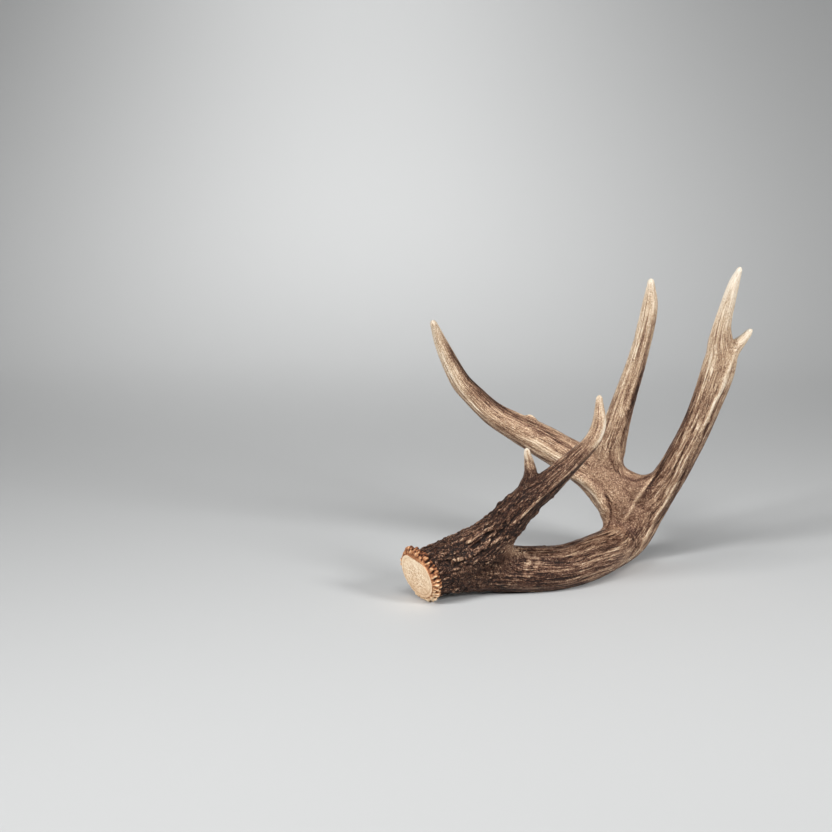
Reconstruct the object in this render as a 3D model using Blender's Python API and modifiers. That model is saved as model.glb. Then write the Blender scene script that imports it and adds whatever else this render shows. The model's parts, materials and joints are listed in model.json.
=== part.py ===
"""A dropped deer antler, lying on its burr and on the underside of its beam.

The beam starts at the burr, runs to the right along the ground and bends up
and back. A long brow tine stands in front of it. At the bend the beam
divides into a tall flattened outer tine and a palm, and the palm carries the
middle tine and runs on as the upper beam, which curves back over the burr.

The limbs are lofted one by one, fused by a voxel remesh, eased at the forks
and given their ridges and pearls. The fused antler is then sawn at its main
forks, so that each limb is a solid of its own.
"""

import math

import bmesh
import bpy
import numpy as np
from mathutils import Matrix, Vector, noise

MM = 0.001

# ---------------------------------------------------------------- limbs, mm
# A station is (x, y, z, half width, half depth) of the limb's section. X runs
# to the right, Y to the back and Z up, from where the burr meets the ground.
# The width lies across the limb as it is seen from the front.
LOWER_BEAM = [
    (-18, -13, 22.5, 19.5, 20.5),
    (-9, -6, 25, 22, 23),
    (11, 6, 28, 22, 21.5),
    (45, 17, 25, 21.5, 18.5),
    (89, 25, 21, 21, 18.5),
    (120, 37, 19, 20.5, 19),
    (152, 64, 20.5, 20.5, 19),
    (178.5, 107, 19.3, 20.5, 18.5),
    (192, 115, 29.5, 20, 18),
    (201, 115.5, 47, 19.5, 17),
]
BROW_TINE = [
    (12, 5, 32, 21, 20),
    (41, 4, 48.5, 18.5, 17),
    (58, 2, 63, 16.5, 15),
    (70, -3, 79, 15, 13.5),
    (86, -10, 99, 13.5, 11.5),
    (101, -16, 113, 11.5, 10),
    (127, -23, 141, 8, 7.5),
    (139, -24, 155, 7, 7),
    (144.5, -23, 170, 6.2, 6),
    (144.5, -20, 190, 3.2, 3.2),
]
BROW_POINT = [
    (79, -8, 96, 7, 6.5),
    (83, -9, 109, 7, 6),
    (86, -10, 122, 5, 5),
    (84, -13, 140, 3, 3),
]
OUTER_TINE = [
    (178.5, 107, 21, 17, 17),
    (192, 115, 29.5, 19, 17.5),
    (201, 115.5, 47, 19.5, 17),
    (214.5, 110, 69.5, 16.8, 14),
    (229, 98.5, 98, 14.5, 12),
    (247.5, 79, 149.5, 14, 10),
    (259.5, 60, 203.5, 16.2, 9),
    (259, 52, 226.5, 11.5, 7.5),
    (259.5, 46, 245.5, 7.8, 6.5),
    (264.5, 34, 279.5, 5.2, 5),
    (268, 29, 294.5, 3, 3),
]
OUTER_POINT = [
    (263.5, 60, 200.5, 9, 7.5),
    (271.5, 57, 218.5, 7, 6),
    (279.5, 55, 228, 4.5, 4.5),
    (285.5, 54, 234.5, 3, 3),
]
UPPER_BEAM = [
    (189, 114, 36, 17, 11),
    (177, 109, 63, 22, 12.5),
    (158.5, 108.5, 86.5, 21.8, 12.5),
    (131.5, 108.5, 103, 17, 13.5),
    (102.5, 109.5, 120, 15.5, 13),
    (78.5, 111, 133, 13.2, 12),
    (57, 111, 146, 11.2, 10.5),
    (38.5, 109, 164, 10, 9),
    (25.5, 105, 180, 9, 8.5),
    (10, 95, 213, 6.5, 6.5),
    (2, 87, 235, 3.5, 3.5),
]
MIDDLE_TINE = [
    (162, 111, 74.5, 17, 11),
    (166.5, 106, 111, 15.5, 11),
    (171, 101, 132, 13, 11),
    (174.5, 96, 151.5, 11, 10),
    (189.5, 82, 208.5, 8.5, 8),
    (196.5, 71, 252.5, 7.5, 7),
    (196.5, 65, 277, 3.5, 3.5),
]
BROW_WEB = [
    (56, 8, 44, 12, 14),
    (66, 7, 48, 8, 11),
    (69.5, 6.5, 49, 5, 6.5),
]
PALM_WEB = [
    (176, 108, 84, 13, 10),
    (196, 108, 72, 15, 11),
    (210, 109, 76, 12, 11),
]
PALM_ROOT = [
    (176, 110, 56, 14, 13),
    (187, 111, 52, 15, 13.5),
    (195, 113, 50, 13, 13),
]
PALM_RIM = [
    (168, 108, 40, 7, 10),
    (163, 103, 58, 6, 8),
    (156, 101, 73, 6, 7.5),
    (144, 100.5, 85, 6, 7.5),
    (128, 101.5, 93.5, 6, 7),
    (114, 106, 104, 4, 5),
]
UPPER_BUMP = [
    (95.5, 110, 128, 9, 8),
    (92.5, 110, 144, 3, 3),
]
LIMBS = {
    "lower_beam": LOWER_BEAM,
    "brow_tine": BROW_TINE,
    "brow_point": BROW_POINT,
    "outer_tine": OUTER_TINE,
    "outer_point": OUTER_POINT,
    "upper_beam": UPPER_BEAM,
    "middle_tine": MIDDLE_TINE,
}
# Lumps of antler that fill the palm between its limbs, and a small bump.
FILLS = (BROW_WEB, PALM_WEB, PALM_ROOT, PALM_RIM, UPPER_BUMP)
TIP_STEPS = (0.3, 0.6, 0.85, 0.97)
TIP_LENGTH = 1.5

# ------------------------------------------------------------ burr, mm
# The burr is a ring of beads. It is sawn off flat a little ahead of them.
BURR_CENTRE = (-8, -5, 26.5)
BURR_NORMAL = (-0.79, -0.56, -0.26)
BURR_RADIUS = 24.8
BEAD_COUNT = 27
BEAD_SIZE = (4.2, 2.9, 3.6)
BEAD_SIZE_SPREAD = 0.25
BEAD_SPACING_SPREAD = 0.3
BEAD_STAGGER = 1.5
CUT_AHEAD = 6.0
BURR_CLEAR = 6.0

# ------------------------------------------------------------ relief, mm
# How rough a limb is at its root, at its tip, and the length between them.
ROUGHNESS = {
    "lower_beam": (1.0, 0.25, 190),
    "brow_tine": (1.0, 0.2, 190),
    "brow_point": (0.5, 0.15, 45),
}
SMOOTH_LIMB = (0.38, 0.12, 260)
RIDGE_WIDTH = 6.5
RIDGE_LENGTH = 50.0
RIDGE_HEIGHT = 2.6
PEARL_WIDTH = 6.0
PEARL_LENGTH = 13.0
PEARL_HEIGHT = 2.4
RIDGE_SHARPNESS = 1.6
PEARL_SHARPNESS = 1.6

# ------------------------------------------------------------ forks, mm
# Each saw cut is a thin disc: its centre, its normal and its radius.
SAW_CUT = 0.3
SAW_SIDES = 32
BURR_SAW_RADIUS = 45
BURR_SAW_DEPTH = 30
FORKS = [
    ("brow_tine", (63, 0, 71), (0.66, -0.26, 0.70), 24),
    ("outer_tine", (223, 108, 82), (0.39, -0.27, 0.88), 24),
    ("middle_tine", (168, 109, 114), (0.22, -0.16, 0.96), 23),
    ("upper_beam", (179, 109, 64), (-0.74, 0.16, 0.65), 31),
]
# The inner corners that are rounded further: the middle of each and its radius.
CROTCHES = [
    ((72, 6, 49), 24),
    ((160, 103, 41), 16), ((187, 99, 34), 26),
    ((193, 108, 93), 20),
]
CROTCH_SMOOTHING = 160
CROTCH_EDGE = 2.0
NODE_MARKERS = {
    "lower_beam": (110, 40, 20),
    "brow_tine": (100, -15, 115),
    "outer_tine": (246, 93, 150),
    "upper_beam": (100, 130, 115),
    "middle_tine": (182, 104, 175),
}
ROUGH_FINISH = 0.6
NODE_COLOURS = {
    "lower_beam": (0.095, 0.050, 0.032),
    "brow_tine": (0.085, 0.048, 0.033),
    "outer_tine": (0.24, 0.155, 0.095),
    "upper_beam": (0.30, 0.215, 0.14),
    "middle_tine": (0.32, 0.23, 0.15),
}

# From the layout's corner to the middle of the antler's footprint, mm.
FOOTPRINT_SHIFT = (-131.42, -51.04, 1.9)

# ------------------------------------------------------------ mesh
STEPS_PER_STATION = 10
RING_SIDES = 24
VOXEL = 1.3
TRIANGLES = 9000
# How sharply a point near a fork is given to one limb, per radius of distance.
SHARE_SHARPNESS = 8
BEYOND_END = 0.2
FORK_SMOOTHING = 45
FORK_FACTOR = 0.6
AWAY_FROM_FORKS = 0.05
SHARP_EDGE = math.radians(50)


def smooth_path(stations):
    """Read a Catmull-Rom curve through the stations, with a rounded tip."""
    rows = np.array(stations, dtype=float)
    padded = np.vstack([2 * rows[0] - rows[1], rows, 2 * rows[-1] - rows[-2]])
    path = []
    for i in range(1, len(padded) - 2):
        p0, p1, p2, p3 = padded[i - 1:i + 3]
        for t in np.arange(STEPS_PER_STATION) / STEPS_PER_STATION:
            path.append(0.5 * (2 * p1 + (p2 - p0) * t + (2 * p0 - 5 * p1 + 4 * p2 - p3) * t ** 2
                               + (3 * p1 - p0 - 3 * p2 + p3) * t ** 3))
    path.append(rows[-1])
    end = rows[-1]
    forward = end[:3] - path[-2][:3]
    forward /= np.linalg.norm(forward)
    for part in TIP_STEPS:
        width = math.sqrt(1 - part ** 2)
        centre = end[:3] + forward * part * TIP_LENGTH * end[3]
        path.append(np.array([*centre, end[3] * width, end[4] * width]))
    return np.array(path)


def path_frames(path):
    """Directions along, across and through the limb at each point of its path."""
    along = np.gradient(path[:, :3], axis=0)
    along /= np.linalg.norm(along, axis=1)[:, None]
    across = np.cross(along, (0.0, 1.0, 0.0))
    across /= np.linalg.norm(across, axis=1)[:, None]
    through = np.cross(across, along)
    return along, across, through


def add_limb(bm, path):
    """Loft one limb as rings of unlike ellipses, closed at both ends."""
    _, across, through = path_frames(path)
    angles = np.arange(RING_SIDES) * 2 * math.pi / RING_SIDES
    rings = []
    for row, wide, deep in zip(path, across, through):
        points = (row[:3] + np.outer(np.cos(angles), wide) * row[3]
                  + np.outer(np.sin(angles), deep) * row[4])
        rings.append([bm.verts.new(point * MM) for point in points])
    for low, high in zip(rings, rings[1:]):
        for i in range(RING_SIDES):
            j = (i + 1) % RING_SIDES
            bm.faces.new((low[i], low[j], high[j], high[i]))
    bm.faces.new(rings[0][::-1])
    bm.faces.new(rings[-1])


def burr_axes():
    """The burr's normal, and two directions in its plane."""
    normal = Vector(BURR_NORMAL).normalized()
    side = normal.cross(Vector((0, 0, 1))).normalized()
    return normal, side, normal.cross(side)


def bead_chance(bead, row):
    """A fixed chance value between about -1 and 1 for one bead."""
    return noise.noise(Vector((1.7 * bead, 5.1 * row, 0)))


def add_burr_beads(bm):
    """Set the burr's beads in a ring, each with its own size and place."""
    normal, side, up = burr_axes()
    for i in range(BEAD_COUNT):
        angle = 2 * math.pi * (i + BEAD_SPACING_SPREAD * bead_chance(i, 0)) / BEAD_COUNT
        outward = side * math.cos(angle) + up * math.sin(angle)
        tangent = normal.cross(outward)
        size = 1 + BEAD_SIZE_SPREAD * bead_chance(i, 1)
        centre = Vector(BURR_CENTRE) + outward * BURR_RADIUS
        centre += normal * BEAD_STAGGER * bead_chance(i, 2)
        turn = Matrix((outward, tangent, normal)).transposed().to_4x4()
        stretch = Matrix.Diagonal((*(value * size for value in BEAD_SIZE), 1))
        place = Matrix.Scale(MM, 4) @ Matrix.Translation(centre) @ turn @ stretch
        bmesh.ops.create_icosphere(bm, subdivisions=2, radius=1.0, matrix=place)


def new_object(name, mesh, collection):
    obj = bpy.data.objects.new(name, mesh)
    collection.objects.link(obj)
    return obj


def evaluated_mesh(obj):
    """The object's mesh with its modifiers applied."""
    graph = bpy.context.evaluated_depsgraph_get()
    return bpy.data.meshes.new_from_object(obj.evaluated_get(graph))


def apply_modifiers(obj):
    mesh = evaluated_mesh(obj)
    obj.modifiers.clear()
    obj.data = mesh


def fused_antler(paths, collection):
    """Loft every limb into one mesh and fuse them by a voxel remesh."""
    bm = bmesh.new()
    for path in paths.values():
        add_limb(bm, path)
    for stations in FILLS:
        add_limb(bm, smooth_path(stations))
    add_burr_beads(bm)
    bmesh.ops.recalc_face_normals(bm, faces=bm.faces)
    mesh = bpy.data.meshes.new("antler")
    bm.to_mesh(mesh)
    bm.free()
    antler = new_object("antler", mesh, collection)
    remesh = antler.modifiers.new("Fuse", "REMESH")
    remesh.mode = "VOXEL"
    remesh.voxel_size = VOXEL * MM
    apply_modifiers(antler)
    return antler


def vertex_array(mesh, kind):
    values = np.empty(len(mesh.vertices) * 3)
    if kind == "co":
        mesh.vertices.foreach_get("co", values)
    else:
        mesh.vertex_normals.foreach_get("vector", values)
    return values.reshape(-1, 3)


def limb_coordinates(points, path):
    """Where each point lies on a limb: across, through and along it, and its reach.

    The reach is 1 on the limb's own surface, less inside it and more outside.
    """
    forward, across, through = path_frames(path)
    steps = np.linalg.norm(np.diff(path[:, :3], axis=0), axis=1)
    length = np.concatenate([[0], np.cumsum(steps)])
    gaps = np.linalg.norm(points[:, None, :] - path[None, :, :3], axis=2)
    nearest = gaps.argmin(axis=1)
    offset = points - path[nearest, :3]
    wide = np.einsum("ij,ij->i", offset, across[nearest])
    deep = np.einsum("ij,ij->i", offset, through[nearest])
    ahead = np.einsum("ij,ij->i", offset, forward[nearest])
    reach = np.sqrt((wide / path[nearest, 3]) ** 2 + (deep / path[nearest, 4]) ** 2)
    return wide, deep, length[nearest] + ahead, reach + BEYOND_END * np.abs(ahead)


def limb_shares(points, paths):
    """How much of each point belongs to each limb, and its place on that limb."""
    places = {name: limb_coordinates(points, path) for name, path in paths.items()}
    reach = np.stack([places[name][3] for name in paths])
    share = np.exp(-SHARE_SHARPNESS * (reach - reach.min(axis=0)))
    share /= share.sum(axis=0)
    return places, share


def relief_height(wide, deep, along, limb, seed):
    """Height of the ridges and pearls at one place on a limb."""
    base, far, length = ROUGHNESS.get(limb, SMOOTH_LIMB)
    part = min(along / length, 1.0)
    rough = base + (far - base) * part
    ridge_at = Vector((wide / RIDGE_WIDTH, deep / RIDGE_WIDTH, along / RIDGE_LENGTH + seed))
    ridge = 0.5 - RIDGE_SHARPNESS * abs(noise.noise(ridge_at))
    pearl_at = Vector((wide / PEARL_WIDTH, deep / PEARL_WIDTH, along / PEARL_LENGTH + seed))
    centre_gap = noise.voronoi(pearl_at)[0][0]
    pearl = max(0.0, 1 - PEARL_SHARPNESS * centre_gap)
    return rough * (RIDGE_HEIGHT * ridge + rough * PEARL_HEIGHT * pearl)


def raise_relief(antler, paths):
    """Raise ridges and pearls, highest at the base and faint at the tips."""
    mesh = antler.data
    points = vertex_array(mesh, "co")
    normals = vertex_array(mesh, "normal")
    places, share = limb_shares(points / MM, paths)
    height = np.zeros(len(points))
    for seed, name in enumerate(paths):
        wide, deep, along, _ = places[name]
        for i in np.nonzero(share[seed] > 0.02)[0]:
            raised = relief_height(wide[i], deep[i], along[i], name, 7.3 * seed)
            height[i] += share[seed, i] * raised
    ahead = (points / MM - BURR_CENTRE) @ np.array(Vector(BURR_NORMAL).normalized())
    height *= np.clip((-ahead - BEAD_SIZE[2]) / BURR_CLEAR, 0, 1)
    moved = points + normals * height[:, None] * MM
    mesh.vertices.foreach_set("co", moved.ravel())
    mesh.update()


def ease_forks(antler, paths):
    """Smooth the creases where limbs meet, so that each fork has a fillet."""
    points = vertex_array(antler.data, "co")
    _, share = limb_shares(points / MM, paths)
    second = np.sort(share, axis=0)[-2]
    group = antler.vertex_groups.new(name="forks")
    weights = AWAY_FROM_FORKS + (1 - AWAY_FROM_FORKS) * np.minimum(3 * second, 1)
    for i, weight in enumerate(weights):
        group.add([i], float(weight), "REPLACE")
    smooth = antler.modifiers.new("Ease", "SMOOTH")
    smooth.factor = FORK_FACTOR
    smooth.iterations = FORK_SMOOTHING
    smooth.vertex_group = group.name
    apply_modifiers(antler)
    antler.vertex_groups.clear()


def round_crotches(antler):
    """Smooth round the inner corners of the forks until they are well rounded."""
    points = vertex_array(antler.data, "co") / MM
    weights = np.zeros(len(points))
    for centre, radius in CROTCHES:
        gap = np.linalg.norm(points - centre, axis=1) / radius
        weights = np.maximum(weights, np.clip(CROTCH_EDGE * (1 - gap), 0, 1))
    group = antler.vertex_groups.new(name="crotches")
    for i in np.nonzero(weights)[0]:
        group.add([int(i)], float(weights[i]), "REPLACE")
    smooth = antler.modifiers.new("Round", "SMOOTH")
    smooth.factor = FORK_FACTOR
    smooth.iterations = CROTCH_SMOOTHING
    smooth.vertex_group = group.name
    apply_modifiers(antler)
    antler.vertex_groups.clear()


def make_cutter(name, mesh, collection):
    cutter = new_object(name, mesh, collection)
    cutter.hide_render = True
    cutter.display_type = "WIRE"
    return cutter


def disc_cutter(name, centre, normal, radius, depth, collection):
    """A round cutter whose flat sides are square to the normal."""
    bm = bmesh.new()
    turn = Vector(normal).to_track_quat("Z", "Y").to_matrix().to_4x4()
    place = Matrix.Translation(Vector(centre) * MM) @ turn
    bmesh.ops.create_cone(bm, cap_ends=True, segments=SAW_SIDES, radius1=radius * MM,
                          radius2=radius * MM, depth=depth * MM, matrix=place)
    mesh = bpy.data.meshes.new(name)
    bm.to_mesh(mesh)
    bm.free()
    return make_cutter(name, mesh, collection)


def cut(obj, cutter):
    boolean = obj.modifiers.new(cutter.name, "BOOLEAN")
    boolean.operation = "DIFFERENCE"
    boolean.solver = "EXACT"
    boolean.object = cutter
    apply_modifiers(obj)


def thin_out(antler):
    """Keep the triangles that the relief needs."""
    antler.data.calc_loop_triangles()
    decimate = antler.modifiers.new("Thin", "DECIMATE")
    decimate.ratio = TRIANGLES / len(antler.data.loop_triangles)
    decimate.use_collapse_triangulate = True
    apply_modifiers(antler)


def saw_burr_face(antler, cutters):
    """Saw the burr off flat, just ahead of its beads."""
    normal = Vector(BURR_NORMAL).normalized()
    centre = Vector(BURR_CENTRE) + normal * (CUT_AHEAD + BURR_SAW_DEPTH / 2)
    saw = disc_cutter("burr_saw", centre, normal, BURR_SAW_RADIUS, BURR_SAW_DEPTH, cutters)
    cut(antler, saw)


def saw_forks(antler, cutters):
    for name, centre, normal, radius in FORKS:
        cut(antler, disc_cutter(name + "_saw", centre, normal, radius, SAW_CUT, cutters))


def split_into_limbs(antler):
    """Part the sawn antler, and name each piece after the limb it is."""
    bpy.context.view_layer.objects.active = antler
    antler.select_set(True)
    bpy.ops.object.mode_set(mode="EDIT")
    bpy.ops.mesh.select_all(action="SELECT")
    bpy.ops.mesh.separate(type="LOOSE")
    bpy.ops.object.mode_set(mode="OBJECT")
    pieces = list(antler.users_collection[0].objects)
    for piece in pieces:
        middle = vertex_array(piece.data, "co").mean(axis=0) / MM
        name = min(NODE_MARKERS, key=lambda key: np.linalg.norm(middle - NODE_MARKERS[key]))
        piece.name = name
        piece.data.name = name
        finish_piece(piece, name)


def finish_piece(piece, name):
    material = bpy.data.materials.new(name)
    material.use_nodes = True
    surface = material.node_tree.nodes["Principled BSDF"]
    surface.inputs["Base Color"].default_value = (*NODE_COLOURS[name], 1)
    surface.inputs["Roughness"].default_value = ROUGH_FINISH
    surface.inputs["Metallic"].default_value = 0.0
    piece.data.materials.clear()
    piece.data.materials.append(material)
    piece.data.transform(Matrix.Translation(Vector(FOOTPRINT_SHIFT) * MM))
    piece.data.shade_smooth()
    piece.data.set_sharp_from_angle(angle=SHARP_EDGE)


def build():
    for obj in list(bpy.data.objects):
        bpy.data.objects.remove(obj)
    parts = bpy.data.collections.new("deer_antler")
    cutters = bpy.data.collections.new("cutters")
    bpy.context.scene.collection.children.link(parts)
    bpy.context.scene.collection.children.link(cutters)
    paths = {name: smooth_path(stations) for name, stations in LIMBS.items()}
    antler = fused_antler(paths, parts)
    ease_forks(antler, paths)
    round_crotches(antler)
    raise_relief(antler, paths)
    thin_out(antler)
    saw_burr_face(antler, cutters)
    saw_forks(antler, cutters)
    split_into_limbs(antler)


build()
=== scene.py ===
# %% [markdown]
# # A dropped deer antler
#
# A deer drops its antlers every spring. This one lies on a table: it rests on the burr,
# which is the knobbly ring at its foot, and on the underside of its beam. The brow tine
# stands in front, the beam bends up at the right, and from the bend grow a tall flattened
# outer tine and a palm. The palm carries the middle tine and runs on as the upper beam.
#
# Antler is one grown piece of bone. Its look comes from three things: limbs that taper and
# flow into each other at the forks, a rough skin of ridges and pearls that fades towards the
# tips, and a colour that goes from dark brown at the foot to ivory at the tips. The lesson
# takes them in that order. Sizes are in millimetres, up to the table and the lights.

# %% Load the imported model
import json
import math

import bmesh
import bpy
import numpy as np
from mathutils import Matrix, Vector
from mathutils.bvhtree import BVHTree

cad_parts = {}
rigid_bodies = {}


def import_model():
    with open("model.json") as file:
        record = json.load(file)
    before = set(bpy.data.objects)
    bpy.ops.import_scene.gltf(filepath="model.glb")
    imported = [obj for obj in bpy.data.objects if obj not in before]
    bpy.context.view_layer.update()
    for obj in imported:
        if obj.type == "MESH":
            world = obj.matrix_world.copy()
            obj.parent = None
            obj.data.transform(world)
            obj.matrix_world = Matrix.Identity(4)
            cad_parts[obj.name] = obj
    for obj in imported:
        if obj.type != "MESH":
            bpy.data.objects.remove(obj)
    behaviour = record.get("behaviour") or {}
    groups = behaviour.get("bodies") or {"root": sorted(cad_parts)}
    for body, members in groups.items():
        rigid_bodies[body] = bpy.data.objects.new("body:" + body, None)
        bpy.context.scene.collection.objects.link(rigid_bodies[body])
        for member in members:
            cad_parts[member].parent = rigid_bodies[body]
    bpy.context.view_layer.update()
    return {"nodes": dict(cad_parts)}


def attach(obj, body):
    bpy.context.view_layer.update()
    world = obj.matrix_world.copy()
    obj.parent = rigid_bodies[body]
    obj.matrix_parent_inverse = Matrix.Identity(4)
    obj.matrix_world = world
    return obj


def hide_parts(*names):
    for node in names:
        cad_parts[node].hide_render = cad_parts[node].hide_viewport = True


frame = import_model()
MM = 0.001
print("solids:", sorted(frame["nodes"]))

# %% [markdown]
# ## The camera
#
# The camera comes first, because some of the ridges further down are drawn as the camera
# sees them. The view is that of a long lens about 1.8 m away, looking down at 14 degrees,
# with the antler in the right half of the picture.

# %% Camera
LENS = 85
SENSOR = 36
PICTURE = 832
CAMERA_PLACE = (-145.82, -1726.44, 590.3)
CAMERA_DOWN = math.radians(14)

camera_data = bpy.data.cameras.new("camera")
camera_data.lens = LENS
camera_data.sensor_width = SENSOR
camera = bpy.data.objects.new("camera", camera_data)
camera.location = Vector(CAMERA_PLACE) * MM
camera.rotation_euler = (math.pi / 2 - CAMERA_DOWN, 0, 0)
bpy.context.scene.collection.objects.link(camera)
bpy.context.scene.camera = camera
print("camera stands", round(camera.location.length, 2), "m from the antler's foot")

# %% [markdown]
# ## The limbs
#
# Each limb is a row of stations. A station says where the middle of the limb is, and how
# wide and how deep its oval section is there. A few stations are enough, because a smooth
# curve is read through them. Sculpting by hand would give the same shape, but numbers can be
# changed later and the lesson stays repeatable.

# %% Stations of every limb
# A station is (x, y, z, half width, half depth). X runs to the right, Y to the back, Z up.
LIMBS = {
    "lower_beam": [
        (-18, -13, 26.8, 20, 21.8), (-9, -6, 26.3, 21, 22.4), (11, 6, 28, 22, 21.5),
        (45, 17, 25, 21.5, 18.5), (89, 25, 21, 21, 18.5), (120, 37, 19, 20.5, 19),
        (152, 64, 20.5, 20.5, 19), (178.5, 107, 19.3, 20.5, 18.5), (192, 115, 29.5, 20, 18),
        (201, 115.5, 47, 19.5, 17)],
    "brow_tine": [
        (12, 5, 32, 21, 20), (41, 4, 48.5, 18.5, 17), (58, 2, 63, 16.5, 15),
        (70, -3, 79, 15, 13.5), (86, -10, 99, 13.5, 11.5), (101, -16, 113, 11.5, 10),
        (127, -23, 141, 8, 7.5), (139, -24, 155, 7, 7), (144.5, -23, 170, 6.2, 6),
        (144.5, -20, 190, 3.2, 3.2)],
    "brow_point": [
        (79.5, -8, 96, 8, 6.5), (84, -9, 108, 8, 6.5), (86.5, -10, 121, 6, 5.5), (83, -13, 141, 3, 3)],
    "outer_tine": [
        (178.5, 107, 21, 17, 17), (192, 115, 29.5, 19, 17.5), (201, 115.5, 47, 19.5, 17),
        (214.5, 110, 69.5, 16.8, 14), (229, 98.5, 98, 14.5, 12), (247.5, 79, 149.5, 14, 10),
        (260.4, 60, 203.5, 15.4, 9), (259, 52, 226.5, 11.5, 7.5), (259.5, 46, 245.5, 7.8, 6.5),
        (265.2, 34, 279.5, 5.3, 5), (269.2, 29, 294.5, 3, 3)],
    "outer_point": [
        (263.5, 60, 200.5, 9, 7.5), (271.5, 57, 218.5, 7, 6), (279.5, 55, 228, 4.5, 4.5),
        (284.5, 54, 234.5, 3, 3)],
    "upper_beam": [
        (189, 114, 36, 17, 11), (177, 109, 63, 22, 12.5), (158.5, 108.5, 86.5, 21.8, 12.5),
        (131.5, 108.5, 103, 17, 13.5), (102.5, 109.5, 120, 15.5, 13), (78.5, 111, 133, 13.2, 12),
        (57, 111, 146, 11.2, 10.5), (38.5, 109, 164, 10, 9), (25.5, 105, 180, 9, 8.5),
        (10, 95, 213, 6.5, 6.5), (2, 87, 235, 3.5, 3.5)],
    "middle_tine": [
        (162, 111, 74.5, 17, 11), (166.5, 106, 111, 15.5, 11), (171, 101, 132, 13, 11),
        (175.5, 96, 151.5, 11.3, 10), (189.5, 82, 208.5, 8.5, 8), (196.5, 71, 252.5, 7.5, 7),
        (196.5, 65, 277, 3.5, 3.5)],
}
# Webs and the root of the palm fill the forks, a rim edges the palm, and a small bump sits
# on the upper beam.
FILLS = {
    "brow_web": [(56, 8, 44, 12, 14), (66, 7, 48, 8, 11), (69.5, 6.5, 49, 5, 6.5)],
    "palm_web": [(176, 108, 84, 13, 10), (196, 108, 72, 15, 11), (210, 109, 76, 12, 11)],
    "palm_root": [(176, 110, 56, 14, 13), (187, 111, 52, 15, 13.5), (195, 113, 50, 13, 13)],
    "palm_rim": [
        (168, 108, 40, 7, 10), (163, 103, 58, 6, 8), (156, 101, 73, 6, 7.5),
        (144, 100.5, 85, 6, 7.5), (128, 101.5, 93.5, 6, 7), (114, 106, 104, 4, 5)],
    "upper_bump": [(96, 110, 120, 15, 9), (93, 110, 132.5, 8.5, 6)],
}
FOOTPRINT_SHIFT = (-131.42, -51.04, 1.9)  # from the layout's corner to the antler's middle
print(len(LIMBS), "limbs and", len(FILLS), "fills")

# %% A smooth path through the stations
STEPS_PER_STATION = 10
TIP_STEPS = (0.3, 0.6, 0.85, 0.97)
TIP_LENGTH = 1.5


def smooth_path(stations):
    """Read a Catmull-Rom curve through the stations, with a rounded tip."""
    rows = np.array(stations, dtype=float)
    rows[:, :3] += FOOTPRINT_SHIFT
    padded = np.vstack([2 * rows[0] - rows[1], rows, 2 * rows[-1] - rows[-2]])
    path = []
    for i in range(1, len(padded) - 2):
        p0, p1, p2, p3 = padded[i - 1:i + 3]
        for t in np.arange(STEPS_PER_STATION) / STEPS_PER_STATION:
            path.append(0.5 * (2 * p1 + (p2 - p0) * t + (2 * p0 - 5 * p1 + 4 * p2 - p3) * t ** 2
                               + (3 * p1 - p0 - 3 * p2 + p3) * t ** 3))
    path.append(rows[-1])
    forward = rows[-1, :3] - path[-2][:3]
    forward /= np.linalg.norm(forward)
    for part in TIP_STEPS:
        width = math.sqrt(1 - part ** 2)
        centre = rows[-1, :3] + forward * part * TIP_LENGTH * rows[-1, 3]
        path.append(np.array([*centre, rows[-1, 3] * width, rows[-1, 4] * width]))
    return np.array(path)


def path_frames(path):
    """Directions along, across and through the limb at each point of its path."""
    along = np.gradient(path[:, :3], axis=0)
    along /= np.linalg.norm(along, axis=1)[:, None]
    across = np.cross(along, (0.0, 1.0, 0.0))
    across /= np.linalg.norm(across, axis=1)[:, None]
    return along, across, np.cross(across, along)


def path_length(path):
    steps = np.linalg.norm(np.diff(path[:, :3], axis=0), axis=1)
    return np.concatenate([[0], np.cumsum(steps)])


paths = {name: smooth_path(stations) for name, stations in LIMBS.items()}
for name, path in paths.items():
    print(f"{name}: {path_length(path)[-1]:.0f} mm long")

# %% [markdown]
# Rings of points are laid round each path and joined into a closed tube. The tubes run into
# each other at the forks. That is fine here, because they are melted together further down.

# %% Loft the limbs
RING_SIDES = 32


def add_limb(bm, path):
    _, across, through = path_frames(path)
    angles = np.arange(RING_SIDES) * 2 * math.pi / RING_SIDES
    rings = []
    for row, wide, deep in zip(path, across, through):
        points = (row[:3] + np.outer(np.cos(angles), wide) * row[3]
                  + np.outer(np.sin(angles), deep) * row[4])
        rings.append([bm.verts.new(point * MM) for point in points])
    for low, high in zip(rings, rings[1:]):
        for i in range(RING_SIDES):
            j = (i + 1) % RING_SIDES
            bm.faces.new((low[i], low[j], high[j], high[i]))
    bm.faces.new(rings[0][::-1])
    bm.faces.new(rings[-1])


def new_object(name, mesh):
    obj = bpy.data.objects.new(name, mesh)
    bpy.context.scene.collection.objects.link(obj)
    return obj


bm = bmesh.new()
for path in paths.values():
    add_limb(bm, path)
for stations in FILLS.values():
    add_limb(bm, smooth_path(stations))
bmesh.ops.recalc_face_normals(bm, faces=bm.faces)
mesh = bpy.data.meshes.new("antler")
bm.to_mesh(mesh)
bm.free()
antler = new_object("antler", mesh)
print("lofted", len(mesh.polygons), "faces")

# %% [markdown]
# ## Small helpers for node trees
#
# The burr's beads, the ridges and the pearls all repeat over a ring or over the surface, so
# Geometry Nodes make them. Building a tree in code takes small helpers. They start a tree
# with named sizes, add a node and feed its sockets, calculate, read a range, make noise, move
# the skin, store a number on it, end the tree, and run it on an object for a plain mesh.

# %% Helpers for node trees
NODE_STEP = 190
SOCKETS = {int: "NodeSocketInt", float: "NodeSocketFloat", bpy.types.Object: "NodeSocketObject"}
bone = bpy.data.materials.new("antler_bone")


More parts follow.
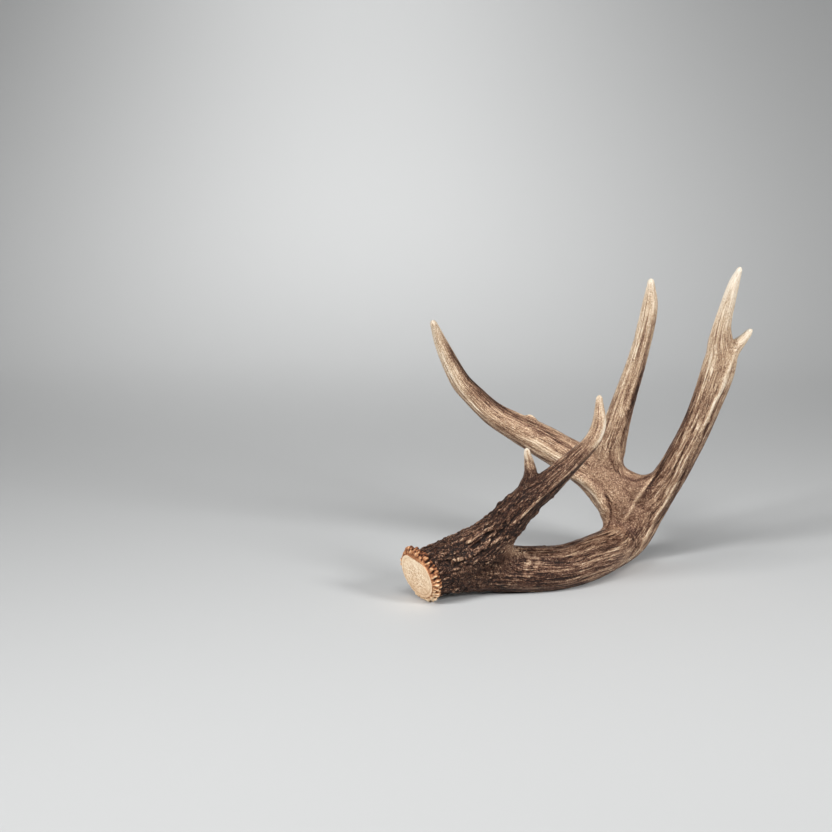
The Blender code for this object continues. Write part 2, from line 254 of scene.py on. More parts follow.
def start_tree(name, sizes):
    """A geometry tree with one named input for each size."""
    tree = bpy.data.node_groups.new(name, "GeometryNodeTree")
    tree.interface.new_socket("Geometry", in_out="INPUT", socket_type="NodeSocketGeometry")
    tree.interface.new_socket("Geometry", in_out="OUTPUT", socket_type="NodeSocketGeometry")
    for label, value in sizes.items():
        socket = tree.interface.new_socket(label, in_out="INPUT", socket_type=SOCKETS[type(value)])
        socket.default_value = value
    return tree, tree.nodes.new("NodeGroupInput").outputs


def make(tree, kind, feeds=None, **settings):
    """Add a node. Each feed is a number, a vector or another node's output."""
    node = tree.nodes.new(kind)
    node.location.x = NODE_STEP * len(tree.nodes)
    for key, value in settings.items():
        setattr(node, key, value)
    for key, value in (feeds or {}).items():
        if isinstance(value, bpy.types.NodeSocket):
            tree.links.new(value, node.inputs[key])
        else:
            node.inputs[key].default_value = value
    return node


def calc(tree, operation, *values):
    """One Math node."""
    node = make(tree, "ShaderNodeMath", dict(enumerate(values)), operation=operation)
    return node.outputs[0]


def vector_calc(tree, operation, *values):
    """One Vector Math node."""
    node = make(tree, "ShaderNodeVectorMath", operation=operation)
    for i, value in enumerate(values):
        socket = node.inputs["Scale"] if operation == "SCALE" and i == 1 else node.inputs[i]
        if isinstance(value, bpy.types.NodeSocket):
            tree.links.new(value, socket)
        else:
            socket.default_value = value
    return node.outputs["Value" if operation == "DOT_PRODUCT" else "Vector"]


def chain(tree, operation, first, *others):
    """Several values added or multiplied, from left to right."""
    for value in others:
        first = calc(tree, operation, first, value)
    return first


def range_of(tree, value, low, high, to_low=0.0, to_high=1.0):
    """A value read from one range into another, and held at its ends."""
    return make(tree, "ShaderNodeMapRange", {
        0: value, "From Min": low, "From Max": high, "To Min": to_low, "To Max": to_high}).outputs[0]


def stretched_noise(tree, place, size, shift, detail, roughness=0.5):
    """Noise between -1 and 1, with a size for each axis."""
    spot = vector_calc(tree, "DIVIDE", place, size)
    spot = vector_calc(tree, "ADD", spot, shift)
    noise = make(tree, "ShaderNodeTexNoise", {
        "Vector": spot, "Scale": 1.0, "Detail": detail, "Roughness": roughness})
    return calc(tree, "MULTIPLY_ADD", noise.outputs[0], 2.0, -1.0)


def stored(tree, name, kind="FLOAT"):
    """A number or a vector that an earlier step stored on every point."""
    return make(tree, "GeometryNodeInputNamedAttribute", {"Name": name}, data_type=kind).outputs[0]


def about_one(tree, size):
    """A chance number near 1, off by no more than the size spread."""
    least = calc(tree, "SUBTRACT", 1.0, size["Size spread"])
    most = calc(tree, "ADD", 1.0, size["Size spread"])
    return make(tree, "FunctionNodeRandomValue", {2: least, 3: most, "Seed": size["Seed"]}).outputs[1]


def push_out(tree, ground, lift):
    """Move the skin along its own normal, by a height in metres."""
    normal = make(tree, "GeometryNodeInputNormal").outputs[0]
    offset = vector_calc(tree, "SCALE", normal, lift)
    return make(tree, "GeometryNodeSetPosition", {0: ground, "Offset": offset}).outputs[0]


def keep_number(tree, geometry, name, value):
    """Store a number on every point, for a later tree or for the material."""
    kept = make(tree, "GeometryNodeStoreNamedAttribute", {
        0: geometry, "Name": name, "Value": value}, data_type="FLOAT", domain="POINT")
    return kept.outputs[0]


def end_tree(tree, geometry):
    """Turn instances into real mesh, give it its material and put it out."""
    real = make(tree, "GeometryNodeRealizeInstances", {0: geometry})
    dressed = make(tree, "GeometryNodeSetMaterial", {0: real.outputs[0], "Material": bone})
    make(tree, "NodeGroupOutput", {0: dressed.outputs[0]})


def run_tree(obj, tree, sizes):
    """Run a tree on an object and keep the result as its plain mesh."""
    modifier = obj.modifiers.new(tree.name, "NODES")
    modifier.node_group = tree
    for socket in tree.interface.items_tree:
        if socket.in_out == "INPUT" and socket.name in sizes:
            modifier[socket.identifier] = sizes[socket.name]
    keep_result(obj)


def keep_result(obj):
    """Replace the object's mesh by what its modifiers make of it."""
    graph = bpy.context.evaluated_depsgraph_get()
    mesh = bpy.data.meshes.new_from_object(obj.evaluated_get(graph))
    obj.modifiers.clear()
    obj.data = mesh


print("helpers ready")

# %% [markdown]
# ## The burr
#
# The burr is a crown of beads where the antler broke off the skull. Each bead is a small
# tooth, longer outwards than across, and no two are alike. Points are set in a ring, pushed
# off their places by chance, and a bead is put on each. Three rows of them lie one behind
# the other, which gives the fluted edge that the real burr has.

# %% Burr beads
BURR_CENTRE = np.array((-9.5, -5, 26.5)) + FOOTPRINT_SHIFT
BURR_NORMAL = Vector((-0.79, -0.56, -0.26)).normalized()
BURR = {
    "Radius": 24.1, "Beads": 58, "Outward": 2.9, "Across": 1.1, "Along": 2.0,
    "Size spread": 0.3, "Stagger": 0.9, "Seed": 4}
# How far each row lies ahead of the burr's middle, and what differs from the middle row.
BURR_ROWS = [
    (3.3, {"Radius": 22.6, "Beads": 60, "Outward": 2.3, "Across": 1.0, "Along": 1.7,
           "Stagger": 0.5, "Seed": 9}),
    (1.0, {}),
    (-1.3, {"Radius": 23.6, "Beads": 54, "Outward": 2.8, "Across": 1.2, "Seed": 11}),
]


def burr_tree():
    """Beads in a ring about Z, for one row of the burr."""
    tree, size = start_tree("Burr beads", BURR)
    ring = make(tree, "GeometryNodeMeshCircle", {"Vertices": size["Beads"], "Radius": size["Radius"]})
    outward = vector_calc(tree, "NORMALIZE", make(tree, "GeometryNodeInputPosition").outputs[0])
    spread = make(tree, "FunctionNodeRandomValue", {
        "Min": (-1, -1, -1), "Max": (1, 1, 1), "Seed": size["Seed"]}, data_type="FLOAT_VECTOR")
    shift = vector_calc(tree, "SCALE", spread.outputs[0], size["Stagger"])
    loose = make(tree, "GeometryNodeSetPosition", {0: ring.outputs[0], "Offset": shift})
    turn = make(tree, "FunctionNodeAxesToRotation", {
        "Primary Axis": outward, "Secondary Axis": (0, 0, 1)},
        primary_axis="X", secondary_axis="Z")
    oval = make(tree, "ShaderNodeCombineXYZ", {
        0: size["Outward"], 1: size["Across"], 2: size["Along"]})
    scale = vector_calc(tree, "SCALE", oval.outputs[0], about_one(tree, size))
    bead = make(tree, "GeometryNodeMeshIcoSphere", {"Radius": 1.0, "Subdivisions": 3})
    beads = make(tree, "GeometryNodeInstanceOnPoints", {
        "Points": loose.outputs[0], "Instance": bead.outputs[0],
        "Rotation": turn.outputs[0], "Scale": scale})
    end_tree(tree, beads.outputs[0])
    return tree


def place_beads(sizes, ahead):
    """Make one row of beads and turn it into the burr's plane."""
    row = new_object("beads", bpy.data.meshes.new("beads"))
    run_tree(row, beads_of_burr, sizes)
    turn = BURR_NORMAL.to_track_quat("Z", "Y").to_matrix().to_4x4()
    middle = Vector(BURR_CENTRE) + BURR_NORMAL * ahead
    row.data.transform(Matrix.Scale(MM, 4) @ Matrix.Translation(middle) @ turn)
    return row


beads_of_burr = burr_tree()
rows = [place_beads({**BURR, **changes}, ahead) for ahead, changes in BURR_ROWS]
print("beads:", [len(row.data.polygons) for row in rows], "faces")

# %% [markdown]
# ## Melting the limbs into one
#
# A voxel remesh fills space with tiny cubes and lays one new skin over everything that
# overlaps. It turns the tubes into a single closed surface with even faces. Booleans would
# join them too, but they keep a hard crease at each fork. Here a Smooth modifier eases the
# creases: it works hardest where two limbs claim the same spot, and a second one rounds the
# inner corners further. The burr's beads are too small for these cubes, so they wait for a
# finer remesh.

# %% Fuse
FIRST_VOXEL = 1.3


def join_into(target, others):
    bm = bmesh.new()
    for obj in [target, *others]:
        bm.from_mesh(obj.data)
    bm.to_mesh(target.data)
    bm.free()
    for obj in others:
        bpy.data.objects.remove(obj)


def fuse(obj, voxel):
    """One even skin over everything in the mesh."""
    remesh = obj.modifiers.new("Fuse", "REMESH")
    remesh.mode = "VOXEL"
    remesh.voxel_size = voxel * MM
    keep_result(obj)


fuse(antler, FIRST_VOXEL)
print("one skin of", len(antler.data.polygons), "faces")

# %% Where a point lies on each limb
SHARE_SHARPNESS = 8
BEYOND_END = 0.2
BLOCK = 20000


def vertex_array(mesh):
    values = np.empty(len(mesh.vertices) * 3)
    mesh.vertices.foreach_get("co", values)
    return values.reshape(-1, 3)


def limb_place(points, path):
    """Across, through, along, and the reach: 1 on the limb's surface, more outside it."""
    forward, across, through = path_frames(path)
    nearest = np.empty(len(points), dtype=int)
    for start in range(0, len(points), BLOCK):
        gaps = points[start:start + BLOCK, None] - path[None, :, :3]
        nearest[start:start + BLOCK] = (gaps ** 2).sum(axis=2).argmin(axis=1)
    offset = points - path[nearest, :3]
    wide = (offset * across[nearest]).sum(axis=1) / path[nearest, 3]
    deep = (offset * through[nearest]).sum(axis=1) / path[nearest, 4]
    ahead = (offset * forward[nearest]).sum(axis=1)
    reach = np.hypot(wide, deep) + BEYOND_END * np.abs(ahead)
    return wide, deep, path_length(path)[nearest] + ahead, reach, forward[nearest]


def limb_shares(places, sharpness):
    """How much of each point belongs to each limb."""
    reach = np.stack([place[3] for place in places.values()])
    share = np.exp(-sharpness * (reach - reach.min(axis=0)))
    return share / share.sum(axis=0)


places = {name: limb_place(vertex_array(antler.data) / MM, path) for name, path in paths.items()}
shares = limb_shares(places, SHARE_SHARPNESS)
print("shared between limbs:", int((shares.max(axis=0) < 0.8).sum()), "points")

# %% Ease the forks
SMOOTHING_FACTOR = 0.6
FORK_ROUNDS = 45
FORK_GAIN = 3  # a second limb's share of a third already brings the full weight
AWAY_FROM_FORKS = 0.05  # the weight of a point that lies on one limb alone
# The inner corners that are rounded further: the middle of each and its radius.
CROTCHES = [((72, 6, 49), 24), ((160, 103, 41), 16), ((187, 99, 34), 26), ((193, 108, 93), 20)]
CROTCH_ROUNDS = 160
CROTCH_EDGE = 2.0  # how fast the weight grows inwards from a corner's edge


def smooth_by(obj, weights, rounds):
    """Smooth each point as much as its weight says, from 0 to 1."""
    group = obj.vertex_groups.new(name="weights")
    for i in np.nonzero(weights)[0]:
        group.add([int(i)], float(weights[i]), "REPLACE")
    smooth = obj.modifiers.new("Smooth", "SMOOTH")
    smooth.factor = SMOOTHING_FACTOR
    smooth.iterations = rounds
    smooth.vertex_group = group.name
    keep_result(obj)
    obj.vertex_groups.clear()


def ease_forks(obj, share):
    """Smooth most where a second limb has a large share in a point."""
    second = np.sort(share, axis=0)[-2]
    near = np.minimum(FORK_GAIN * second, 1)
    smooth_by(obj, AWAY_FROM_FORKS + (1 - AWAY_FROM_FORKS) * near, FORK_ROUNDS)


def round_crotches(obj):
    """Smooth the inner corners more, by how near each point is to a corner's middle."""
    points = vertex_array(obj.data) / MM
    weights = np.zeros(len(points), dtype=np.float32)
    for centre, radius in CROTCHES:
        near = 1 - np.linalg.norm(points - centre - FOOTPRINT_SHIFT, axis=1) / radius
        weights += np.clip(CROTCH_EDGE * near, 0, 1).astype(np.float32)
    smooth_by(obj, np.minimum(weights, 1), CROTCH_ROUNDS)


ease_forks(antler, shares)
round_crotches(antler)
print("forks eased,", len(CROTCHES), "inner corners rounded")

# %% [markdown]
# ## The grain
#
# Ridges, furrows and colour streaks all run lengthwise and turn with the limbs at the forks.
# So every point gets a grain coordinate: its angle round the limb, as two numbers, and how
# far along it lies. Near a fork the coordinates of the limbs are mixed, and a streak then
# bends from one limb into the next as real antler grain does. The same attribute drives the
# relief here and the colour later, so crests and pale streaks stay together.

# %% Grain, roughness and tone of every point
GRAIN_RADIUS = 16.0
GRAIN_SHARPNESS = 5
# The beam and the outer tine share one grain that runs on round the bend.
TRUNK_LIMBS = ("lower_beam", "outer_tine")
TRUNK = smooth_path(LIMBS["lower_beam"] + LIMBS["outer_tine"][3:])
PARENTS = {
    "brow_tine": "lower_beam", "brow_point": "brow_tine", "outer_tine": "lower_beam",
    "outer_point": "outer_tine", "upper_beam": "outer_tine", "middle_tine": "upper_beam"}
# (distance along the limb, how rough it is there)
ROUGHNESS = {
    "lower_beam": [(0, 0.95), (45, 0.85), (90, 0.55), (190, 0.34), (280, 0.3)],
    "brow_tine": [(0, 1.0), (75, 0.95), (115, 0.6), (165, 0.28), (215, 0.1)],
    "brow_point": [(0, 0.5), (45, 0.12)],
}
SMOOTH_LIMB = [(0, 0.38), (130, 0.26), (260, 0.12), (320, 0.06)]
# (distance along the limb, how light it is there)
TONES = {
    # on the lower beam, the rise to 0.42 at 224 mm, low on the bend, is painted light: it brightens the
    # underside that the lamps leave in shade
    "lower_beam": [(0, 0.12), (47, 0.13), (80, 0.27), (100, 0.26), (127, 0.25), (167, 0.27), (224, 0.42),
                   (247, 0.34), (280, 0.36)],
    "brow_tine": [(0, 0.11), (80, 0.12), (102, 0.13), (120, 0.13), (142, 0.21), (160, 0.25),
                  (176, 0.39), (189, 0.50), (208, 0.68), (220, 0.60)],
    "brow_point": [(0, 0.12), (20, 0.15), (29, 0.22), (37, 0.46), (46, 0.76)],
    "outer_tine": [(0, 0.38), (77, 0.39), (114, 0.39), (151, 0.44), (179, 0.45), (208, 0.61),
                   (229, 0.70), (246, 0.58), (272, 0.80), (295, 0.87), (312, 1.0)],
    "outer_point": [(0, 0.52), (40, 0.83)],
    "upper_beam": [(0, 0.40), (33, 0.44), (63, 0.53), (92, 0.51), (109, 0.50), (130, 0.52), (149, 0.50),
                   (170, 0.45), (188, 0.49), (210, 0.56), (228, 0.60), (266, 0.71), (295, 0.63)],
    "middle_tine": [(0, 0.42), (37, 0.48), (60, 0.54), (89, 0.58), (122, 0.58), (153, 0.68),
                    (187, 0.71), (215, 0.78)],
}
# Spots where the skin is calm: no ridges, and a stipple in place of streaks.
CALM = [((74, 0, 44), 17), ((183, 98, 52), 24), ((186, 100, 76), 30), ((160, 100, 85), 22),
        ((170, 96, 104), 14), ((266, 55, 210), 15)]
CALM_EDGE = 1.6  # how fast calm grows inwards from a spot's edge


def calmness(points):
    """How calm the skin is: 1 in the middle of a calm spot, 0 well away from all."""
    calm = np.zeros(len(points))
    for centre, radius in CALM:
        gap = np.linalg.norm(points - centre - FOOTPRINT_SHIFT, axis=1) / radius
        calm = np.maximum(calm, np.clip(CALM_EDGE - CALM_EDGE * gap, 0, 1))
    return calm


def start_along(name):
    """How far from the burr a limb starts, measured through the limbs that carry it."""
    parent = PARENTS.get(name)
    if parent is None:
        return 0.0
    _, _, along, _, _ = limb_place(paths[name][:1, :3], paths[parent])
    return start_along(parent) + along[0]


def read_table(table, along):
    stops, values = zip(*table)
    return np.interp(along, stops, values)


def store(mesh, name, values):
    """Keep one number or vector for each point of a mesh."""
    kind, field = ("FLOAT_VECTOR", "vector") if values.ndim == 2 else ("FLOAT", "value")
    layer = mesh.attributes.get(name) or mesh.attributes.new(name, kind, "POINT")
    layer.data.foreach_set(field, values.astype(np.float32).ravel())


def mark_grain(mesh):
    """Store the grain, the limb's direction, the roughness, the tone and the burr."""
    points = vertex_array(mesh) / MM
    places = {name: limb_place(points, path) for name, path in paths.items()}
    share = limb_shares(places, GRAIN_SHARPNESS)
    grain = np.zeros_like(points)
    flow = np.zeros_like(points)
    rough = np.zeros(len(points))
    tone = np.zeros(len(points))
    trunk = limb_place(points, TRUNK)
    for part, (name, place) in zip(share, places.items()):
        rough += part * read_table(ROUGHNESS.get(name, SMOOTH_LIMB), place[2])
        tone += part * read_table(TONES[name], place[2])
        place, start = (trunk, 0.0) if name in TRUNK_LIMBS else (place, start_along(name))
        wide, deep, along, _, forward = place
        own = np.stack([wide * GRAIN_RADIUS, deep * GRAIN_RADIUS, along + start], axis=1)
        grain += part[:, None] * own
        flow += part[:, None] * forward
    ahead = (points - BURR_CENTRE) @ np.array(BURR_NORMAL)
    store(mesh, "grain", grain)
    store(mesh, "flow", flow)
    store(mesh, "rough", rough)
    store(mesh, "calm", calmness(points))
    store(mesh, "tone", tone)
    store(mesh, "ahead", ahead)


mark_grain(antler.data)
print("limb starts:", {name: round(start_along(name)) for name in paths})

# %% [markdown]
# ## Ridges and pearls
#
# Ridges are a noise pattern stretched along the grain. Taking the distance from the middle
# value makes it sharp at the crests. Pearls are separate lumps, so they are real little
# ovals: points are scattered over the rough parts, each oval lies along the grain, half sunk
# into the surface, and a second remesh grows them onto the antler.

# %% Ridges along the grain
RIDGES = {
    "Width": 5.0, "Length": 34.0, "Height": 2.4, "Sharpness": 1.8, "Crest level": 0.45,
    "Fine width": 2.3, "Fine length": 11.0, "Fine height": 1.5,
    "Bead reach": 3.0, "Clear of burr": 5.0}
FINE_SHIFT = 31.0  # takes the fine ridges from another part of the noise
CALM_RIDGES = 0.15  # the share of a ridge's height that is left on calm skin


def grain_noise(tree, wide, long, detail, shift=0.0):
    """Noise stretched along the grain."""
    size = make(tree, "ShaderNodeCombineXYZ", {0: wide, 1: wide, 2: long}).outputs[0]
    return stretched_noise(tree, stored(tree, "grain", "FLOAT_VECTOR"), size, (shift, 0, 0), detail)


def clear_of_burr(tree, size):
    """0 among the burr's beads, growing to 1 further down the antler."""
    behind = calc(tree, "MULTIPLY", stored(tree, "ahead"), -1.0)
    past = calc(tree, "SUBTRACT", behind, size["Bead reach"])
    return make(tree, "ShaderNodeClamp", {0: calc(tree, "DIVIDE", past, size["Clear of burr"])}).outputs[0]


def ridge_tree():
    """Push the surface out at crests and in at furrows."""
    tree, size = start_tree("Ridges", RIDGES)
    broad = grain_noise(tree, size["Width"], size["Length"], 1.0)
    crest = calc(tree, "MULTIPLY", calc(tree, "ABSOLUTE", broad), size["Sharpness"])
    height = calc(tree, "MULTIPLY", calc(tree, "SUBTRACT", size["Crest level"], crest), size["Height"])
    fine = grain_noise(tree, size["Fine width"], size["Fine length"], 1.0, FINE_SHIFT)
    fine_height = calc(tree, "MULTIPLY", fine, size["Fine height"])
    lively = calc(tree, "MULTIPLY_ADD", stored(tree, "calm"), CALM_RIDGES - 1.0, 1.0)
    lift = chain(tree, "MULTIPLY", calc(tree, "ADD", height, fine_height), stored(tree, "rough"),
                 lively, clear_of_burr(tree, size), MM)
    end_tree(tree, push_out(tree, size["Geometry"], lift))
    return tree


run_tree(antler, ridge_tree(), RIDGES)
print("ridges raised")

# %% Pearls
PEARLS = {
    "Spacing": 2.9, "Length": 3.2, "Width": 1.3, "Height": 1.7, "Size spread": 0.5,
    "Rough from": 0.4, "Rough to": 0.9, "Sunk": 0.2, "Turn spread": 0.5, "Turn seed": 3, "Seed": 7}
PEARLS_START = 6.0  # millimetres behind the burr's middle
MOST_DENSE = 60000.0  # points in a square metre, before the spacing thins them out
PEARL_FACES = 320  # of an ico sphere with its Subdivisions at 3


def pearl_tree():
    """Scatter ovals over the rough parts, each lying along the grain."""
    tree, size = start_tree("Pearls", PEARLS)
    rough = stored(tree, "rough")
    behind = calc(tree, "LESS_THAN", stored(tree, "ahead"), -PEARLS_START)
    where = range_of(tree, rough, size["Rough from"], size["Rough to"])
    where = calc(tree, "MULTIPLY", where, calc(tree, "SUBTRACT", 1.0, stored(tree, "calm")))
    spots = make(tree, "GeometryNodeDistributePointsOnFaces", {
        "Mesh": size["Geometry"], "Distance Min": calc(tree, "MULTIPLY", size["Spacing"], MM),
        "Density Max": MOST_DENSE, "Density Factor": calc(tree, "MULTIPLY", where, behind),
        "Seed": size["Seed"]}, distribute_method="POISSON")
    turn = make(tree, "FunctionNodeAxesToRotation", {
        "Primary Axis": spots.outputs["Normal"],
        "Secondary Axis": stored(tree, "flow", "FLOAT_VECTOR")}, primary_axis="Z", secondary_axis="X")
    swing = make(tree, "FunctionNodeRandomValue", {
        2: calc(tree, "MULTIPLY", size["Turn spread"], -1.0), 3: size["Turn spread"],
        "Seed": size["Turn seed"]})
    swung = make(tree, "FunctionNodeRotateRotation", {
        "Rotation": turn.outputs[0], "Rotate By": make(tree, "FunctionNodeAxisAngleToRotation", {
            "Axis": (0, 0, 1), "Angle": swing.outputs[1]}).outputs[0]}, rotation_space="LOCAL")
    grown = calc(tree, "MULTIPLY", about_one(tree, size), calc(tree, "MULTIPLY", rough, MM))
    oval = make(tree, "ShaderNodeCombineXYZ", {
        0: size["Length"], 1: size["Width"], 2: size["Height"]})
    bead = make(tree, "GeometryNodeMeshIcoSphere", {"Radius": 1.0, "Subdivisions": 3})
    sink = make(tree, "GeometryNodeTransform", {
        0: bead.outputs[0], "Translation": make(tree, "ShaderNodeCombineXYZ", {
            2: calc(tree, "MULTIPLY", size["Sunk"], -1.0)}).outputs[0]})
    pearls = make(tree, "GeometryNodeInstanceOnPoints", {
        "Points": spots.outputs["Points"], "Instance": sink.outputs[0],
        "Rotation": swung.outputs[0], "Scale": vector_calc(tree, "SCALE", oval.outputs[0], grown)})
    both = make(tree, "GeometryNodeJoinGeometry")
    tree.links.new(size["Geometry"], both.inputs[0])
    tree.links.new(pearls.outputs[0], both.inputs[0])
    end_tree(tree, both.outputs[0])
    return tree


before = len(antler.data.polygons)
run_tree(antler, pearl_tree(), PEARLS)
print("pearls:", (len(antler.data.polygons) - before) // PEARL_FACES)

# %% Grow the pearls and the beads on
FINE_VOXEL = 0.7
join_into(antler, rows)
fuse(antler, FINE_VOXEL)
mark_grain(antler.data)
print("fine skin of", len(antler.data.polygons), "faces")

# %% [markdown]
# ## Ribs and grooves of its own
#
# Noise gives a believable skin, but this antler also has marks of its own: a pale rib up the
# outer tine, a curved rim on the palm, crests and a hollow at the foot, and flat bands that
# are paler or darker than their surroundings. Not all the bands are marks of the antler: the
# dark right side of the middle tine is painted shade, and the pale band on the palm's rim is
# partly a painted highlight. Each is drawn as a line of spots in the picture. A ray from the
# camera lays every spot on the surface, so the lines bend over the limbs as they should.
# Geometry Nodes then raise or sink the skin near each line and note how much paler or darker
# it is.

# %% Lay the lines on the surface
# (rise, half width, how much paler, spots in the picture). A third number on a spot makes
# the line stronger or weaker there.
LINES = [
    # the bright rib round the bend and up the outer tine, its left branch, the furrow beside it
    (0.8, 1.6, 0.34, [
        (628, 560, 0.5), (641, 545, 0.4), (650, 529, 0.7), (653, 521, 1.3), (658, 513, 1.5),
        (663.5, 505, 1.8), (668, 497, 1.6), (672, 490, 1.4), (676, 481, 1.2), (681, 470), (685, 461, 0.9),
        (692, 446, 0.9), (701, 431, 0.6), (706, 421, 0.8), (709.5, 414, 0.9), (715, 401, 0.8),
        (720, 393, 0.8), (723, 385, 0.9), (726, 377), (729, 369), (733, 358, 0.5), (737, 347, 0.5),
        (746, 335, 0.4)]),
    (0.6, 1.4, 0.3, [
        (662, 505, 0.6), (665.5, 497, 0.9), (669, 488), (673.5, 479), (678, 469, 0.8), (682, 460, 0.6),
        (690, 445, 0.8), (696.5, 430, 0.6), (703, 415, 0.5)]),
    (-0.5, 1.2, -0.17, [
        (653, 531), (659, 521), (665, 512.5), (670, 504), (674.5, 496), (678, 488), (681.5, 480),
        (685, 472.5), (689, 465)]),
    (-0.6, 1.2, -0.16, [
        (699, 448), (703, 437), (706, 429), (709, 423), (713, 414), (719, 401), (723, 393), (727, 385)]),
    # a second rib, the furrow between the two, and the dark left edge of the tine
    (0.4, 1.2, 0.18, [
        (665, 482), (670, 473), (675, 463, 0.6), (679, 451), (683, 441), (688, 432), (693, 425), (697, 416),
        (701, 408)]),
    (-0.5, 1.2, -0.14, [
        (668, 482), (673, 473), (677, 465), (681, 457), (685, 449, 0.5), (689, 441, 0.5), (692, 433),
        (696, 425), (700, 416), (704, 406)]),
    (-0.2, 2.4, -0.22, [
        (641, 502), (647, 489), (653, 481), (658, 473), (664, 461), (669, 449), (675, 437), (682, 425),
        (687, 413), (692, 401, 0.8), (697, 390, 0.5), (702, 378, 0.4), (707, 366, 0.3)]),
    (0.4, 1.2, 0.1, [(652, 502, 0.4), (655, 497), (659, 489, 1.5), (664, 480)]),
    # the edge of the palm, and the smooth channel above it
    (0.5, 1.6, 0.2, [
        (620, 524), (625, 519), (629, 513), (633, 505), (638, 497), (644, 489), (650, 481), (656, 472)]),
    (0.3, 1.0, 0.06, [(699, 400), (705, 386), (710, 371), (713, 353), (717, 338)]),
    (-0.4, 3.2, -0.08, [(707, 410), (713, 392), (718, 376), (720, 362), (720, 348)]),
    # the dark right side of the middle tine, painted shade on the side turned away from the left lamp, and
    # the furrow in its middle
    (0.0, 4.6, -0.34, [
        (657, 306, 0.9), (655, 320, 0.7), (652, 333, 0.6), (649, 345, 0.7), (646, 357, 0.8),
        (643, 369, 1.1), (640, 381, 1.3), (636, 393, 1.5), (633, 404, 1.5), (630, 414, 1.2),
        (627, 424, 0.8), (624, 436, 0.5), (623, 448, 0.4), (626, 460, 0.3)]),
    (-0.4, 1.8, -0.2, [
        (648, 314), (646, 328), (642, 340), (639, 352), (636, 364), (633, 376), (629, 388), (625, 400),
        (621, 411)]),
    (0.0, 1.8, -0.1, [(623, 407), (617, 418), (612, 428), (610, 436)]),
    (0.0, 2.2, 0.1, [(643, 300), (640, 314), (636, 329), (632, 344), (628, 358), (624, 372), (620, 386)]),
    # the corner between the tines, the rim of the palm
    (-0.5, 1.3, -0.14, [
        (609, 438), (609, 448), (611, 460), (616, 471), (624, 478), (635, 481), (645, 478), (654, 471)]),
    (0.5, 1.4, 0.12, [(617, 430), (616, 446), (619, 460), (625, 471), (634, 476)]),
    (0.0, 1.4, 0.14, [(632, 474), (640, 476), (648, 475), (656, 469)]),
    # the pale band on the palm's rim: partly the rim's own colour, partly a painted highlight where the rim
    # turns down and away from the lamps
    (0.3, 2.8, 0.3, [
        (575, 478, 0.6), (582, 484, 1.2), (589, 490, 1.2), (595, 496, 0.8), (602, 505, 0.2),
        (604, 516, 0.5)]),
    (0.0, 2.6, -0.22, [(570, 470), (574, 474), (579, 479)]),
    (-0.4, 1.4, -0.12, [(604, 492, 0.4), (608, 499, 0.8), (611, 508), (611, 519), (606, 530)]),
    # crests and a furrow at the foot, and the nodules along the brow tine
    (1.4, 1.6, 0.24, [(437, 558), (444, 554), (451, 551)]),
    (1.6, 1.8, 0.12, [(450, 562), (461, 559), (470, 556), (478, 551), (486, 545), (491, 538)]),
    (1.2, 1.6, 0.16, [(466, 544), (474, 539), (484, 532), (492, 527), (499, 519)]),
    (-1.2, 1.5, -0.14, [(470, 549), (478, 543), (486, 536), (491, 531)]),
    (1.3, 1.5, 0.2, [(489, 546), (496, 541), (503, 537)]),
    (1.1, 1.4, 0.16, [(510, 527), (517, 520), (524, 514), (531, 507), (537, 501), (543, 493)]),
    (0.6, 1.2, 0.12, [(543, 494), (549, 489), (560, 480), (572, 470), (584, 458), (593, 449)]),
    (-0.5, 1.3, -0.14, [(536, 507), (548, 496), (562, 484), (576, 471), (590, 456)]),
    # the pale right side of the brow tine's tip, its darker left side
    (0.0, 2.6, 0.3, [
        (605, 412), (606, 422), (604, 431, 1.4), (600, 439, 1.5), (594, 447), (587, 455, 0.6),
        (578, 464, 0.4)]),
    (0.0, 2.6, -0.18, [(596, 402), (598, 412), (598, 422), (595, 431)]),
    (0.0, 1.6, -0.22, [(526, 449), (530, 458), (533, 466)]),
    # a bare mark on the beam, the smooth skin in the brow fork
    (0.0, 2.4, 0.26, [(520, 552), (526, 555), (533, 557), (541, 559)]),
    (0.0, 2.4, 0.32, [(531, 556), (528, 563), (526, 569), (526, 577)]),
    (0.0, 2.4, 0.22, [(541, 560), (536, 567), (531, 573), (528, 577)]),
    (0.0, 7.0, 0.3, [(504, 545), (510, 549), (517, 551), (523, 554)]),
    # the beam: pale along its upper and its outer edge, dark below
    (0.0, 6.0, 0.17, [(526, 550), (543, 555), (562, 554), (580, 550), (595, 545), (608, 538)]),
    (0.0, 4.6, 0.17, [
        (585, 581), (600, 575), (615, 568), (628, 560, 1.5), (638, 552, 1.6), (646, 543, 1.3)]),
    (0.4, 1.5, 0.12, [(540, 568), (560, 567), (580, 564), (600, 558), (616, 549), (630, 537)]),
    (0.0, 5.0, -0.13, [(480, 582), (510, 580), (530, 580), (546, 582), (562, 579), (582, 573)]),
    (0.0, 5.0, -0.12, [(600, 553), (614, 543), (626, 538), (636, 532), (643, 524)]),
    # the dark upper edge of the upper beam, and the pale band below it
    (0.0, 4.6, -0.32, [
        (438, 330), (447, 344), (457, 361, 1.2), (468, 376, 1.5), (480, 389.5, 1.4), (490, 399, 1.1),
        (504, 409, 0.75), (514, 415, 0.7), (524, 420.5, 0.75), (537, 427, 0.8), (548, 433.5, 0.85),
        (559, 440.5, 0.9), (570, 447.5)]),
    (0.2, 3.2, 0.16, [
        (436, 343, 0.8), (442, 356), (449, 371), (459, 387), (469, 399), (480, 412, 0.7), (494, 423, 0.6)]),
    (0.2, 3.8, 0.2, [(532, 439, 0.5), (541, 444), (549, 449.5), (557, 455, 1.3), (565, 459.5, 1.4)]),
    (0.0, 2.0, 0.26, [(523, 415), (530, 414), (537, 418), (544, 423)]),
    (-0.5, 1.4, -0.08, [(480, 445), (500, 452), (520, 459), (540, 466), (556, 473)]),
]
LINE_STEP = 1.2
LINE_END = 0.12  # the share of a line over which each end fades


